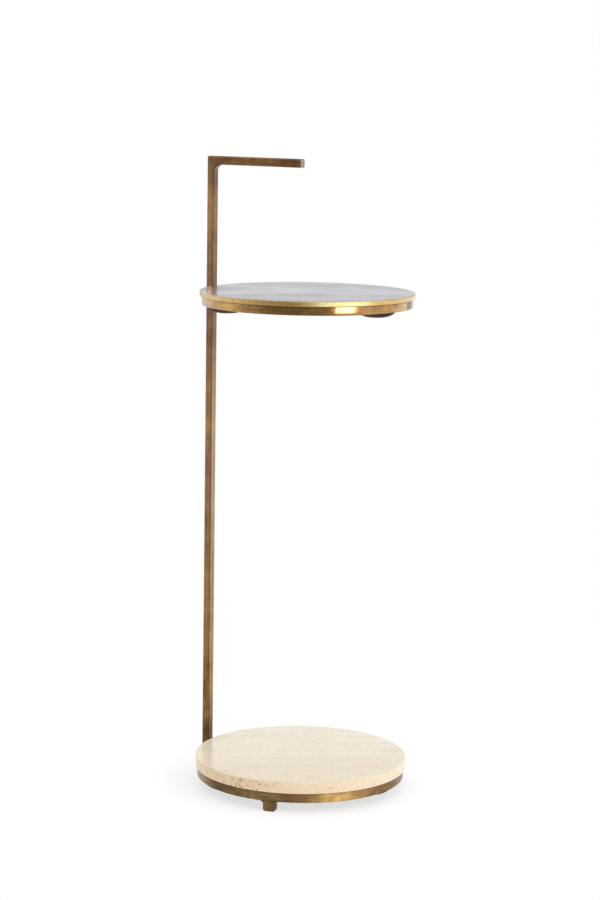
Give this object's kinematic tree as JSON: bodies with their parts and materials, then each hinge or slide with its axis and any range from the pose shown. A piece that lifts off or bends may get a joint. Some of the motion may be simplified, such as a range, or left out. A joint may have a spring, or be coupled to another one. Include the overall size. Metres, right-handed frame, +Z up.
{
  "type": "wine table",
  "caption": "Slim wine table: a square post beside a round metal top and a round stone base, each on a metal ring, bent over at the top into a straight carrying handle.",
  "frame": {"origin": "on the floor, at the middle of the footprint of post and discs together", "axes": "+Z up; +X from the post along the handle arm; the plane of post and arm is Y = 0"},
  "size_m": [0.2606, 0.25, 0.74],
  "materials": {
    "bronze": "satin",
    "plate": "satin",
    "travertine": "satin",
    "clamp": "satin",
    "zinc": "satin",
    "insert": "satin"
  },
  "bodies": {
    "root": {"post": "bronze", "handle_arm": "bronze", "top_ring": "bronze", "base_ring": "bronze", "top_lug": "bronze", "base_lug": "bronze", "foot_1": "bronze", "foot_2": "bronze", "foot_3": "bronze", "top_plate": "plate", "base_stone": "travertine", "top_clamp_disc_1": "clamp", "top_clamp_disc_2": "clamp", "top_clamp_disc_3": "clamp", "base_clamp_disc_1": "clamp", "base_clamp_disc_2": "clamp", "base_clamp_disc_3": "clamp", "top_screws": "zinc", "top_washers": "zinc", "base_screws": "zinc", "base_washers": "zinc", "stone_spacers": "zinc", "stone_inserts": "insert"}
  },
  "joints": []
}
